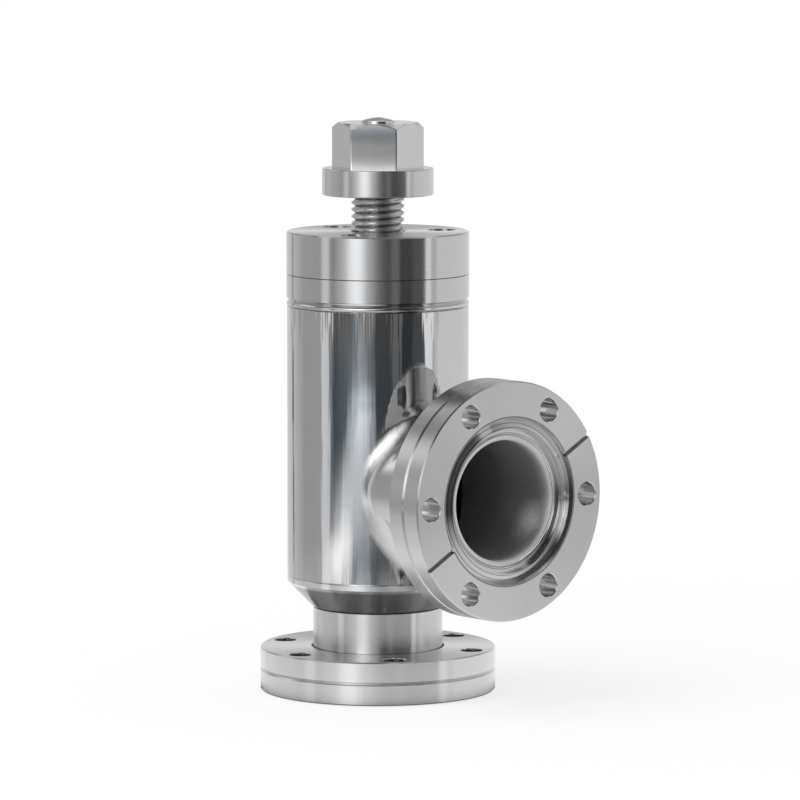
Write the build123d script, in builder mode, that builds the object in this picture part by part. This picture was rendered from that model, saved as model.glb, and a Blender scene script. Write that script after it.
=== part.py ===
from build123d import *
from math import cos, hypot, radians, tan
import os

# Vacuum angle valve: two knife-edge flanges, a bellows-sealed valve plate and a hex-driven
# lifting spindle. Millimetres, +Z up the valve axis, +X towards the side port, origin at the
# centre of the bottom flange's face. It is modelled open, with the plate lifted off its seat.

# Flanges
flange_od = 69.3
flange_thickness = 12.7
bolt_count = 6
bolt_inner_wall = 1.9  # between a bolt hole and the gasket recess
bolt_outer_wall = 2.0  # between a bolt hole and the rim
bolt_hole_chamfer = 0.25
knife_land = 1.4  # flat between the tube's socket and the knife edge's root
knife_root_depth = 2.6  # that flat, below the flange face
knife_draft = 0.2  # how far the knife's inner side leans in, from tip to root
knife_setback = 0.7  # knife tip below the flange face
knife_slope = 20  # degrees, outer side of the knife edge
knife_slope_width = 3.2  # from the knife's tip to the wall of the gasket recess
rim_groove_depth = 0.5
rim_groove_width = 1.1
rim_chamfer = 0.35
leak_slot_width = 1.6
leak_slot_depth = 1.1

# Tubes welded into the flanges
tube_od = 38.1
tube_wall = 1.6
tube_end_flat = 0.1  # between the rounded mouth of a tube and its weld line
weld_relief_width = 0.6
weld_relief_depth = 2.0
neck_exposed = 11.7  # bare neck between flange and reducer

# Reducer with the valve seat
reducer_slope = 46.2  # degrees from the horizontal
reducer_land = 1.675  # straight part above the cone
reducer_fillet = 3.4
seat_rise = 3.5  # seat tip above the reducer's weld line
seat_step = 2.0  # seat tip above the body's floor
seat_overhang = 1.3  # seat tip beyond the tube's bore
seat_tip_width = 0.2
seat_foot_width = 1.7

# Body tube with its drawn branch
body_od = 53.3
body_wall = 1.65
body_length = 79.6
port_rise = 27.15  # port axis above the body's lower end
port_reach = 59.65
branch_fillet = 8.0
branch_land = 1.5  # straight end of the drawn branch
weld_line_chamfer = 0.25

# Bonnet ring and top cover
bonnet_step = 0.15  # bonnet ring and cover stand proud of the body
bonnet_height = 9.3
bead_height = 1.5
bead_inset = 0.35
notch_depth = 0.8
notch_width = 1.0
spigot_depth = 5.0
guide_neck_length = 6.6
guide_neck_wall = 1.85
cover_thickness = 12.5
cover_edge_chamfer = 0.4
seam_chamfer = 0.15
screw_wall = 1.9  # bonnet ring left inside a screw hole
screw_count = 3
screw_first_angle = 60
screw_d = 4.0
screw_head_d = 7.0
screw_head_height = 4.0
screw_socket_af = 3.0
screw_length = 16.0
screw_counterbore_d = 8.1
screw_counterbore_depth = 5.0

# Spindle, nut and drive
stroke = 10.0
closed_collar_gap = 0.6  # collar above the cover with the valve closed
thread_d = 15.6
shank_d = 13.0
journal_d = 11.0
journal_length = 14.0
thrust_flange_gap = 0.4  # radial, in the plunger's bore
thrust_flange_height = 3.0
thread_start = 4.0  # plain shank between bearing cap and thread
nut_body_d = 24.0
nut_flange_gap = 1.0  # between the nut's flange and a cover screw
nut_flange_height = 3.0
nut_height = 9.5
collar_d = 32.7
collar_height = 7.9
hex_af = 23.5
hex_height = 13.3
hex_turn = 44.4  # degrees, where the first corner points
hex_chamfer_d = 24.0
hex_chamfer_angle = 30
edge_break = 0.4
key_width = 3.0
key_height = 3.0
key_length = 9.0
key_start = 2.0  # key above the collar's underside
cap_screw_d = 5.0
cap_screw_head_d = 9.4
cap_screw_head_height = 2.8
cap_screw_edge = 0.5
cap_screw_socket_af = 3.0
cap_screw_length = 16.0
cap_screw_recess_gap = 0.4  # radial, round the screw's head
cap_screw_recess_depth = 1.2

# Plunger, guide and thrust bearing
plunger_od = 26.0
plunger_wall = 2.6
plunger_head_gap = 0.9
chamber_depth = 36.0
plunger_spigot_d = 10.0
plunger_spigot_length = 3.6
guide_bush_wall = 1.9
guide_pin_d = 3.0
guide_pin_rise = 4.0  # pin above the guide neck's lower end
guide_slot_depth = 1.5
race_height = 2.0
race_groove_depth = 0.6
ball_d = 3.2
ball_side_wall = 1.1  # race left on each side of the balls
ball_count = 8
cage_gap = 0.4  # from the cage to the races, the plunger and the spindle
bearing_cap_height = 5.0
bearing_cap_width = 2.25  # radial, inside the plunger's bore

# Valve plate and bellows
plate_thickness = 5.0
plate_lip_width = 1.0
plate_lip_height = 1.0
pad_outer_margin = 2.15  # pad beyond the seat's tip
pad_inner_margin = 2.55
pad_thickness = 2.5
retainer_lip_width = 0.8
retainer_lip_height = 1.0
plate_screw_d = 6.0
plate_screw_head_d = 11.0
plate_screw_length = 12.0
plate_screw_socket_af = 4.0
plate_screw_socket_depth = 1.8
bellows_neck_gap = 0.9  # radial, round the guide neck
bellows_fold_width = 4.0  # radial, from a fold's valley to its crest
bellows_wall = 0.35
bellows_folds = 14
bellows_collar_height = 3.0
bellows_collar_inset = 1.1  # collars stand inside the folds' crests

# Clearances
weld_gap = 0.05  # radial, between pieces fixed in one another
running_gap = 0.1  # radial or axial, between pieces that move on one another
seal_gap = 0.1  # pad above the seat with the valve closed
thread_gap = 0.1  # radial, spindle in its nut
free_gap = 0.3  # radial, spindle through the cover
slot_end_gap = 0.8
touching = 0.001  # for telling radii apart

# Radii worked out from the sizes above
tube_r = tube_od / 2
bore_r = tube_r - tube_wall
tube_mouth_r = tube_wall - weld_line_chamfer - tube_end_flat
socket_r = tube_r + weld_gap
knife_root_r = socket_r + weld_line_chamfer + knife_land
knife_r = knife_root_r + knife_draft
gasket_r = knife_r + knife_slope_width
rim_r = flange_od / 2
bolt_hole_r = (rim_r - gasket_r - bolt_inner_wall - bolt_outer_wall) / 2
bolt_circle_r = gasket_r + bolt_inner_wall + bolt_hole_r
bolt_spacing = 360 / bolt_count  # degrees
body_r = body_od / 2
body_bore_r = body_r - body_wall
bonnet_r = body_r + bonnet_step
spigot_r = body_bore_r - weld_gap
plunger_r = plunger_od / 2
plunger_bore_r = plunger_r - plunger_wall
guide_bush_r = plunger_r + running_gap
guide_bush_outer_r = guide_bush_r + guide_bush_wall
bonnet_bore_r = guide_bush_outer_r + weld_gap
guide_neck_r = bonnet_bore_r + guide_neck_wall
screw_hole_r = screw_d / 2 + weld_gap
screw_circle_r = bonnet_bore_r + screw_wall + screw_hole_r
nut_flange_r = screw_circle_r - screw_d / 2 - nut_flange_gap
ball_r = ball_d / 2
ball_circle_r = plunger_bore_r - ball_side_wall - ball_r
race_bore_r = ball_circle_r - ball_r - ball_side_wall
seat_r = bore_r + seat_overhang
pad_inner_r = seat_r - pad_inner_margin
pad_outer_r = seat_r + pad_outer_margin
bellows_valley_r = guide_neck_r + bellows_neck_gap
bellows_crest_r = bellows_valley_r + bellows_fold_width
bellows_collar_r = bellows_crest_r - bellows_collar_inset
collar_end = body_r + branch_fillet + branch_land

# Heights worked out from the sizes above
neck_top = flange_thickness + neck_exposed
cone_top = neck_top + (body_r - tube_r) * tan(radians(reducer_slope))
body_base = cone_top + reducer_land
port_height = body_base + port_rise
body_top = body_base + body_length
seam = body_top + bonnet_height
cover_top = seam + cover_thickness
collar_base = cover_top + closed_collar_gap + stroke
hex_base = collar_base + collar_height
hex_top = hex_base + hex_height
seat_tip = body_base + seat_rise
body_floor = seat_tip - seat_step
pad_base = seat_tip + seal_gap + stroke
plate_base = pad_base + pad_thickness
plate_top = plate_base + plate_thickness
spigot_end = plate_top - plunger_spigot_length
retainer_base = pad_base - retainer_lip_height
plate_screw_top = retainer_base + plate_screw_length
bonnet_base = body_top - spigot_depth
guide_base = bonnet_base - guide_neck_length
guide_pin_height = guide_base + guide_pin_rise
plunger_top = seam - plunger_head_gap
chamber_floor = plunger_top - chamber_depth
bellows_base = plate_top + bellows_collar_height
bellows_top = bonnet_base - bellows_collar_height
ball_height = chamber_floor + race_height + ball_r - race_groove_depth + running_gap
upper_race_base = 2 * ball_height - chamber_floor - race_height
thrust_base = upper_race_base + race_height + running_gap
thrust_top = thrust_base + thrust_flange_height
bearing_cap_base = thrust_top + running_gap
bearing_cap_top = bearing_cap_base + bearing_cap_height
nut_top = seam + nut_height
screw_seat = cover_top - screw_counterbore_depth
screw_hole_depth = seam - (screw_seat - screw_length) + slot_end_gap
cap_screw_seat = hex_top - cap_screw_recess_depth
journal_top = collar_base + journal_length

# Planes of the ports: each face plane looks out of its flange, and each section plane has its
# first direction along the flange's radius and its second from the face into the flange.
bottom_face = Plane(origin=(0, 0, 0), x_dir=(1, 0, 0), z_dir=(0, 0, -1))
bottom_section = Plane.XZ
side_face = Plane(origin=(port_reach, 0, port_height), x_dir=(0, 1, 0), z_dir=(1, 0, 0))
side_section = Plane(origin=(port_reach, 0, port_height), x_dir=(0, 0, 1), z_dir=(0, -1, 0))
port_plane = Plane(origin=(0, 0, port_height), x_dir=(0, 1, 0), z_dir=(1, 0, 0))
body_plane = Plane(origin=(0, 0, body_base), x_dir=(-1, 0, 0), z_dir=(0, 0, 1))
retainer_face = Plane(origin=(0, 0, retainer_base), x_dir=(1, 0, 0), z_dir=(0, 0, -1))


def annulus(base, inner_r, outer_r):
    """A flat ring round the valve axis at height base."""
    with BuildSketch(Plane.XY.offset(base)) as outline:
        Circle(outer_r)
        Circle(inner_r, mode=Mode.SUBTRACT)
    return outline.sketch


def knife_edge_flange(section_plane, face_plane, first_bolt_angle, slot_gap):
    """The whole flange: rim, gasket recess, knife edge, tube socket, bolt holes and slots.

    The first slot lies midway between two holes, slot_gap spacings on from the first hole.
    """
    recess_depth = knife_setback + knife_slope_width * tan(radians(knife_slope))
    relief_r = tube_r + weld_relief_width
    relief_base = flange_thickness - weld_relief_depth
    groove_centre = flange_thickness / 2
    groove_half = rim_groove_width / 2
    slot_inner_r = (gasket_r + knife_r) / 2
    slot_length = rim_r + rim_chamfer - slot_inner_r
    slot_angle = first_bolt_angle + (slot_gap + 0.5) * bolt_spacing
    with BuildPart() as flange:
        with BuildSketch(section_plane):
            with BuildLine():
                Polyline(
                    (rim_r - rim_chamfer, 0),
                    (gasket_r, 0),
                    (gasket_r, recess_depth),
                    (knife_r, knife_setback),
                    (knife_root_r, knife_root_depth),
                    (socket_r + weld_line_chamfer, knife_root_depth),
                    (socket_r, knife_root_depth + weld_line_chamfer),
                    (socket_r, relief_base),
                    (relief_r, relief_base),
                    (relief_r, flange_thickness),
                    (rim_r - rim_chamfer, flange_thickness),
                    (rim_r, flange_thickness - rim_chamfer),
                    (rim_r, groove_centre + groove_half),
                    (rim_r - rim_groove_depth, groove_centre),
                    (rim_r, groove_centre - groove_half),
                    (rim_r, rim_chamfer),
                    close=True,
                )
            make_face()
        revolve(axis=Axis(section_plane.origin, section_plane.y_dir))
        with BuildSketch(face_plane):
            with PolarLocations(bolt_circle_r, bolt_count, start_angle=first_bolt_angle):
                Circle(bolt_hole_r)
        extrude(amount=-flange_thickness, mode=Mode.SUBTRACT)
        hole_edges = edges().filter_by(GeomType.CIRCLE).filter_by(is_bolt_hole)
        chamfer(hole_edges, bolt_hole_chamfer)
        with BuildSketch(face_plane):
            with PolarLocations(slot_inner_r + slot_length / 2, 2, start_angle=slot_angle):
                Rectangle(slot_length, leak_slot_width)
        extrude(amount=-leak_slot_depth, mode=Mode.SUBTRACT)
    return flange


def is_bolt_hole(edge):
    """Tells a bolt hole's circular edge from the flange's larger ones."""
    return abs(edge.radius - bolt_hole_r) < touching


def flange_tube(section_plane, far_end):
    """A tube up to the knife edge's root in its flange, with a rounded mouth and a weld line."""
    with BuildPart() as tube:
        with BuildSketch(section_plane):
            with BuildLine():
                CenterArc(
                    (bore_r + tube_mouth_r, knife_root_depth + tube_mouth_r), tube_mouth_r, 180, 90
                )
                Polyline(
                    (bore_r + tube_mouth_r, knife_root_depth),
                    (tube_r - weld_line_chamfer, knife_root_depth),
                    (tube_r, knife_root_depth + weld_line_chamfer),
                    (tube_r, far_end),
                    (bore_r, far_end),
                    (bore_r, knife_root_depth + tube_mouth_r),
                )
            make_face()
        revolve(axis=Axis(section_plane.origin, section_plane.y_dir))
    return tube


def bearing_race(base):
    """A flat bearing washer, with the ball groove turned into its side that faces the balls."""
    with BuildPart() as race:
        extrude(annulus(base, race_bore_r, plunger_bore_r - weld_gap), race_height)
        with BuildSketch(Plane.XZ):
            with Locations((ball_circle_r, ball_height)):
                Circle(ball_r + running_gap)
        revolve(axis=Axis.Z, mode=Mode.SUBTRACT)
    return race


# Bottom flange, with its face down on z = 0
bottom_flange = knife_edge_flange(bottom_section, bottom_face, bolt_spacing / 2, 1)
bottom_flange.part.label = "bottom_flange"

# Side flange, the same flange turned by half a bolt spacing
side_flange = knife_edge_flange(side_section, side_face, 0, 0)
side_flange.part.label = "side_flange"

# Neck tube between the bottom flange and the reducer
neck_tube = flange_tube(bottom_section, neck_top)
neck_tube.part.label = "neck_tube"

# Reducer: a turned cone from the neck to the body, with the raised valve seat inside
with BuildPart() as seat_reducer:
    with BuildSketch(Plane.XZ):
        with BuildLine():
            Polyline(
                (bore_r, neck_top),
                (tube_r, neck_top),
                (body_r, cone_top),
                (body_r, body_base - weld_line_chamfer),
                (body_r - weld_line_chamfer, body_base),
                (spigot_r, body_base),
                (spigot_r, body_floor),
                (seat_r + seat_tip_width + seat_foot_width, body_floor),
                (seat_r + seat_tip_width, seat_tip),
                (seat_r, seat_tip),
                (bore_r, seat_tip - (seat_r - bore_r)),
                close=True,
            )
        make_face()
        corner = vertices().sort_by_distance((body_r, 0, cone_top))[0]
        fillet(corner, reducer_fillet)
    revolve(axis=Axis.Z)
seat_reducer.part.label = "seat_reducer"

# Body tube, with the side branch drawn out of its wall; its circle starts at the back, so that
# the branch meets it in one unbroken edge
with BuildPart() as body_shell:
    with BuildSketch(body_plane):
        Circle(body_r)
    extrude(amount=body_length)
    rims = edges().filter_by(GeomType.CIRCLE)
    chamfer(rims, weld_line_chamfer)
    with BuildSketch(port_plane):
        Circle(tube_r)
    extrude(amount=collar_end)
    saddle = edges().filter_by(GeomType.BSPLINE)
    fillet(saddle, branch_fillet)
    with BuildSketch(port_plane):
        Circle(bore_r)
    extrude(amount=collar_end, mode=Mode.SUBTRACT)
    with BuildSketch(Plane.XY.offset(body_base)):
        Circle(body_bore_r)
    extrude(amount=body_length, mode=Mode.SUBTRACT)
body_shell.part.label = "body_shell"

# Side tube from the branch collar into the side flange
side_tube = flange_tube(side_section, port_reach - collar_end)
side_tube.part.label = "side_tube"

# Bonnet ring: welded into the body's top, with a bead and a notch round it and, inside, a neck
# that carries the plunger's guide bush
with BuildPart() as bonnet_ring:
    notch_base = body_top + bead_height
    notch_top = notch_base + notch_width
    with BuildSketch(Plane.XZ):
        with BuildLine():
            ThreePointArc(
                (bonnet_r - bead_inset, body_top),
                (bonnet_r, body_top + bead_height / 2),
                (bonnet_r - bead_inset, notch_base),
            )
            Polyline(
                (bonnet_r - bead_inset, notch_base),
                (bonnet_r - notch_depth, (notch_base + notch_top) / 2),
                (bonnet_r, notch_top),
                (bonnet_r, seam - seam_chamfer),
                (bonnet_r - seam_chamfer, seam),
                (bonnet_bore_r, seam),
                (bonnet_bore_r, guide_base),
                (guide_neck_r, guide_base),
                (guide_neck_r, bonnet_base),
                (spigot_r, bonnet_base),
                (spigot_r, body_top),
                (bonnet_r - bead_inset, body_top),
            )
        make_face()
    revolve(axis=Axis.Z)
    with Locations(Plane.XY.offset(seam)):
        with PolarLocations(screw_circle_r, screw_count, start_angle=screw_first_angle):
            Hole(screw_hole_r, depth=screw_hole_depth)
    with BuildSketch(Plane.YZ):
        with Locations((0, guide_pin_height)):
            Circle(guide_pin_d / 2 + weld_gap)
    extrude(amount=guide_neck_r + weld_gap, mode=Mode.SUBTRACT)
bonnet_ring.part.label = "bonnet_ring"

# Guide bush in the bonnet ring, bored through for the guide pin
with BuildPart() as guide_bush:
    extrude(annulus(guide_base, guide_bush_r, guide_bush_outer_r), plunger_top - guide_base)
    with BuildSketch(Plane.YZ):
        with Locations((0, guide_pin_height)):
            Circle(guide_pin_d / 2 + weld_gap)
    extrude(amount=bonnet_bore_r, mode=Mode.SUBTRACT)
guide_bush.part.label = "guide_bush"

# Guide pin: keeps the plunger from turning with the spindle
with BuildPart() as guide_pin:
    pin_inner_r = plunger_r - guide_slot_depth + free_gap
    with BuildSketch(Plane.YZ.offset(pin_inner_r)):
        with Locations((0, guide_pin_height)):
            Circle(guide_pin_d / 2)
    extrude(amount=guide_neck_r - pin_inner_r)
guide_pin.part.label = "guide_pin"

# Top cover, stepped inside for the spindle nut and counterbored for its screws
with BuildPart() as top_cover:
    spindle_hole_r = thread_d / 2 + free_gap
    nut_pocket_r = nut_body_d / 2 + weld_gap
    nut_flange_pocket_r = nut_flange_r + weld_gap
    with BuildSketch(Plane.XZ):
        with BuildLine():
            Polyline(
                (nut_flange_pocket_r, seam),
                (bonnet_r - seam_chamfer, seam),
                (bonnet_r, seam + seam_chamfer),
                (bonnet_r, cover_top - cover_edge_chamfer),
                (bonnet_r - cover_edge_chamfer, cover_top),
                (spindle_hole_r + edge_break, cover_top),
                (spindle_hole_r, cover_top - edge_break),
                (spindle_hole_r, nut_top),
                (nut_pocket_r, nut_top),
                (nut_pocket_r, seam + nut_flange_height),
                (nut_flange_pocket_r, seam + nut_flange_height),
                close=True,
            )
        make_face()
    revolve(axis=Axis.Z)
    with Locations(Plane.XY.offset(cover_top)):
        with PolarLocations(screw_circle_r, screw_count, start_angle=screw_first_angle):
            CounterBoreHole(
                screw_d / 2 + running_gap,
                screw_counterbore_d / 2,
                screw_counterbore_depth,
                depth=cover_thickness,
            )
top_cover.part.label = "top_cover"

# Cover screws: three alike, with hexagonal sockets
with BuildPart() as cover_screws:
    with BuildSketch(Plane.XY.offset(screw_seat)):
        with PolarLocations(screw_circle_r, screw_count, start_angle=screw_first_angle):
            Circle(screw_head_d / 2)
    extrude(amount=screw_head_height)
    with BuildSketch(Plane.XY.offset(screw_seat)):
        with PolarLocations(screw_circle_r, screw_count, start_angle=screw_first_angle):
            Circle(screw_d / 2)
    extrude(amount=-screw_length)
    with BuildSketch(Plane.XY.offset(screw_seat + screw_head_height)):
        with PolarLocations(screw_circle_r, screw_count, start_angle=screw_first_angle):
            RegularPolygon(screw_socket_af / 2, 6, major_radius=False)
    extrude(amount=-screw_head_height / 2, mode=Mode.SUBTRACT)
cover_screws.part.label = "cover_screws"

# Bronze spindle nut, clamped between the cover and the bonnet ring
with BuildPart() as spindle_nut:
    nut_bore_r = thread_d / 2 + thread_gap
    extrude(annulus(seam, nut_bore_r, nut_flange_r), nut_flange_height)
    extrude(annulus(seam, nut_bore_r, nut_body_d / 2), nut_height)
spindle_nut.part.label = "spindle_nut"

# Spindle: pilot and thrust flange in the bearing, plain shank, thread's outer diameter, and a
# keyed journal with a tapped hole on top
with BuildPart() as spindle:
    pilot_r = race_bore_r - running_gap
    thrust_flange_r = plunger_bore_r - thrust_flange_gap
    thread_base = bearing_cap_top + thread_start
    with BuildSketch(Plane.XZ):
        with BuildLine():
            Polyline(
                (0, chamber_floor + running_gap),
                (pilot_r, chamber_floor + running_gap),
                (pilot_r, thrust_base),
                (thrust_flange_r, thrust_base),
                (thrust_flange_r, thrust_top),
                (shank_d / 2, thrust_top),
                (shank_d / 2, thread_base),
                (thread_d / 2, thread_base + (thread_d - shank_d) / 2),
                (thread_d / 2, collar_base - edge_break),
                (thread_d / 2 - edge_break, collar_base),
                (journal_d / 2, collar_base),
                (journal_d / 2, journal_top - edge_break),
                (journal_d / 2 - edge_break, journal_top),
                (0, journal_top),
                close=True,
            )
        make_face()
    revolve(axis=Axis.Z)
    with Locations(Plane.XY.offset(journal_top)):
        Hole(cap_screw_d / 2 + weld_gap, depth=journal_length)
    with BuildSketch(Plane.XY.offset(collar_base + key_start)):
        with Locations((journal_d / 2, 0)):
            Rectangle(key_height + 2 * weld_gap, key_width + 2 * weld_gap)
    extrude(amount=key_length + 2 * weld_gap, mode=Mode.SUBTRACT)
spindle.part.label = "spindle"

# Drive key between the journal and the hexagon
with BuildPart() as drive_key:
    with BuildSketch(Plane.XY.offset(collar_base + key_start + weld_gap)):
        with Locations((journal_d / 2, 0)):
            Rectangle(key_height, key_width)
    extrude(amount=key_length)
drive_key.part.label = "drive_key"

# Drive hexagon with its stop collar, turned and milled from one bar
with BuildPart() as drive_hex:
    corner_r = hex_af / 2 / cos(radians(30)) + edge_break
    chamfer_r = hex_chamfer_d / 2
    chamfer_drop = (corner_r - chamfer_r) * tan(radians(hex_chamfer_angle))
    collar_r = collar_d / 2
    with BuildSketch(Plane.XY.offset(hex_base)):
        RegularPolygon(hex_af / 2, 6, major_radius=False, rotation=hex_turn)
    extrude(amount=hex_height)
    with BuildSketch(Plane.XZ):
        with BuildLine():
            Polyline(
                (0, hex_base),
                (corner_r, hex_base),
                (corner_r, hex_top - chamfer_drop),
                (chamfer_r, hex_top),
                (0, hex_top),
                close=True,
            )
        make_face()
    revolve(axis=Axis.Z, mode=Mode.INTERSECT)
    with BuildSketch(Plane.XZ):
        with BuildLine():
            Polyline(
                (0, collar_base),
                (collar_r - edge_break, collar_base),
                (collar_r, collar_base + edge_break),
                (collar_r, hex_base - edge_break),
                (collar_r - edge_break, hex_base),
                (0, hex_base),
                close=True,
            )
        make_face()
    revolve(axis=Axis.Z)
    with BuildSketch(Plane.XY.offset(collar_base)):
        Circle(journal_d / 2 + weld_gap)
    extrude(amount=journal_length + weld_gap, mode=Mode.SUBTRACT)
    with BuildSketch(Plane.XY.offset(collar_base)):
        with Locations((journal_d / 2, 0)):
            Rectangle(key_height + 2 * weld_gap, key_width + 2 * weld_gap)
    extrude(amount=key_start + key_length + 2 * weld_gap, mode=Mode.SUBTRACT)
    with Locations(Plane.XY.offset(hex_top)):
        CounterBoreHole(
            cap_screw_d / 2 + running_gap,
            cap_screw_head_d / 2 + cap_screw_recess_gap,
            cap_screw_recess_depth,
            depth=hex_height,
        )
drive_hex.part.label = "drive_hex"

# Domed screw that holds the hexagon on the spindle
with BuildPart() as hex_screw:
    head_r = cap_screw_head_d / 2
    dome_top = cap_screw_seat + cap_screw_head_height
    dome_foot = cap_screw_seat + cap_screw_edge
    dome_rise = dome_top - dome_foot
    dome_r = (head_r**2 + dome_rise**2) / (2 * dome_rise)
    screw_end = cap_screw_seat - cap_screw_length
    with BuildSketch(Plane.XZ):
        with BuildLine():
            Polyline(
                (0, dome_top),
                (0, screw_end),
                (cap_screw_d / 2, screw_end),
                (cap_screw_d / 2, cap_screw_seat),
                (head_r, cap_screw_seat),
                (head_r, dome_foot),
            )
            RadiusArc((head_r, dome_foot), (0, dome_top), -dome_r)
        make_face()
    revolve(axis=Axis.Z)
    with BuildSketch(Plane.XY.offset(dome_top)):
        RegularPolygon(cap_screw_socket_af / 2, 6, major_radius=False)
    extrude(amount=-cap_screw_head_height / 2, mode=Mode.SUBTRACT)
hex_screw.part.label = "hex_screw"

# Plunger: hollow rod inside the bellows, slotted for the guide pin, with a spigot in the plate
with BuildPart() as plunger:
    with BuildSketch(Plane.XY.offset(plate_top)):
        Circle(plunger_r)
    extrude(amount=plunger_top - plate_top)
    with BuildSketch(Plane.XY.offset(plate_top)):
        Circle(plunger_spigot_d / 2)
    extrude(amount=-plunger_spigot_length)
    with Locations(Plane.XY.offset(plunger_top)):
        Hole(plunger_bore_r, depth=chamber_depth)
    with BuildSketch(Plane.XY.offset(spigot_end)):
        Circle(plate_screw_d / 2 + weld_gap)
    extrude(amount=plate_screw_top + slot_end_gap - spigot_end, mode=Mode.SUBTRACT)
    slot_bottom = guide_pin_height - guide_pin_d / 2 - slot_end_gap
    slot_top = guide_pin_height + stroke + guide_pin_d / 2 + slot_end_gap
    with BuildSketch(Plane.YZ.offset(plunger_r - guide_slot_depth)):
        with Locations((0, (slot_bottom + slot_top) / 2)):
            SlotOverall(slot_top - slot_bottom, guide_pin_d + 2 * running_gap, rotation=90)
    extrude(amount=2 * guide_slot_depth, mode=Mode.SUBTRACT)
plunger.part.label = "plunger"

# Thrust bearing that carries the spindle's closing force: two races, the balls and their cage
lower_race = bearing_race(chamber_floor)
lower_race.part.label = "lower_race"

upper_race = bearing_race(upper_race_base)
upper_race.part.label = "upper_race"

with BuildPart() as thrust_balls:
    with Locations(Plane.XY.offset(ball_height)):
        with PolarLocations(ball_circle_r, ball_count):
            Sphere(ball_r)
thrust_balls.part.label = "thrust_balls"

with BuildPart() as ball_cage:
    cage_base = chamber_floor + race_height + cage_gap
    cage_top = upper_race_base - cage_gap
    cage_height = cage_top - cage_base
    extrude(annulus(cage_base, race_bore_r + cage_gap, plunger_bore_r - cage_gap), cage_height)
    with Locations(Plane.XY.offset(cage_top)):
        with PolarLocations(ball_circle_r, ball_count):
            Hole(ball_r + running_gap, depth=cage_height)
ball_cage.part.label = "ball_cage"

# Bearing cap: screwed into the plunger over the spindle's thrust flange
with BuildPart() as bearing_cap:
    cap_outer_r = plunger_bore_r - weld_gap
    cap_inner_r = cap_outer_r - bearing_cap_width
    extrude(annulus(bearing_cap_base, cap_inner_r, cap_outer_r), bearing_cap_height)
bearing_cap.part.label = "bearing_cap"

# Valve plate, recessed below for the pad and bored for the plunger's spigot
with BuildPart() as valve_plate:
    with BuildSketch(Plane.XY.offset(plate_base - plate_lip_height)):
        Circle(pad_outer_r + weld_gap + plate_lip_width)
    extrude(amount=plate_lip_height + plate_thickness)
    chamfer(edges().filter_by(GeomType.CIRCLE), edge_break)
    with BuildSketch(Plane.XY.offset(plate_base)):
        Circle(pad_outer_r + weld_gap)
    extrude(amount=-plate_lip_height, mode=Mode.SUBTRACT)
    with Locations(Plane.XY.offset(plate_top)):
        CounterBoreHole(
            plate_screw_d / 2 + weld_gap,
            plunger_spigot_d / 2 + weld_gap,
            plunger_spigot_length + weld_gap,
            depth=plate_thickness,
        )
valve_plate.part.label = "valve_plate"

# Copper seal pad that closes on the seat's edge
with BuildPart() as seal_pad:
    extrude(annulus(pad_base, pad_inner_r, pad_outer_r), pad_thickness)
seal_pad.part.label = "seal_pad"

# Pad retainer: a lipped disc under the plate, countersunk for its screw
with BuildPart() as pad_retainer:
    with BuildSketch(Plane.XY.offset(retainer_base)):
        Circle(pad_inner_r + retainer_lip_width)
    extrude(amount=retainer_lip_height)
    chamfer(edges().group_by(Axis.Z)[0], edge_break)
    with BuildSketch(Plane.XY.offset(pad_base)):
        Circle(pad_inner_r - weld_gap)
    extrude(amount=pad_thickness)
    with Locations(retainer_face):
        CounterSinkHole(
            plate_screw_d / 2 + weld_gap,
            plate_screw_head_d / 2 + weld_gap,
            depth=retainer_lip_height + pad_thickness,
            counter_sink_angle=90,
        )
pad_retainer.part.label = "pad_retainer"

# Countersunk screw through the retainer and the plate into the plunger's spigot
with BuildPart() as plate_screw:
    sink_depth = (plate_screw_head_d - plate_screw_d) / 2
    with BuildSketch(Plane.XZ):
        with BuildLine():
            Polyline(
                (0, retainer_base),
                (plate_screw_head_d / 2, retainer_base),
                (plate_screw_d / 2, retainer_base + sink_depth),
                (plate_screw_d / 2, plate_screw_top),
                (0, plate_screw_top),
                close=True,
            )
        make_face()
    revolve(axis=Axis.Z)
    with BuildSketch(retainer_face):
        RegularPolygon(plate_screw_socket_af / 2, 6, major_radius=False)
    extrude(amount=-plate_screw_socket_depth, mode=Mode.SUBTRACT)
plate_screw.part.label = "plate_screw"

# Bellows collars: welding rings on the plate and under the bonnet ring
with BuildPart() as bellows_lower_collar:
    collar_inner_r = plunger_r + weld_gap
    extrude(annulus(plate_top, collar_inner_r, bellows_collar_r), bellows_collar_height)
bellows_lower_collar.part.label = "bellows_lower_collar"

with BuildPart() as bellows_upper_collar:
    collar_inner_r = guide_neck_r + weld_gap
    extrude(annulus(bellows_top, collar_inner_r, bellows_collar_r), bellows_collar_height)
bellows_upper_collar.part.label = "bellows_upper_collar"

# Bellows: a stack of welded diaphragms, one zigzag wall from collar to collar
with BuildPart() as bellows:
    fold_height = (bellows_top - bellows_base) / bellows_folds
    valley_r = bellows_valley_r
    crest_r = bellows_crest_r
    fold_slant = hypot(crest_r - valley_r, fold_height / 2)
    radial_wall = bellows_wall * fold_slant / (fold_height / 2)
    outside = []
    inside = []
    for fold in range(bellows_folds):
        valley = bellows_base + fold * fold_height
        crest = valley + fold_height / 2
        outside += [(valley_r + radial_wall, valley), (crest_r, crest)]
        inside += [(valley_r, valley), (crest_r - radial_wall, crest)]
    outside.append((valley_r + radial_wall, bellows_top))
    inside.append((valley_r, bellows_top))
    with BuildSketch(Plane.XZ):
        with BuildLine():
            Polyline(*outside, *reversed(inside), close=True)
        make_face()
    revolve(axis=Axis.Z)
bellows.part.label = "bellows"

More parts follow.
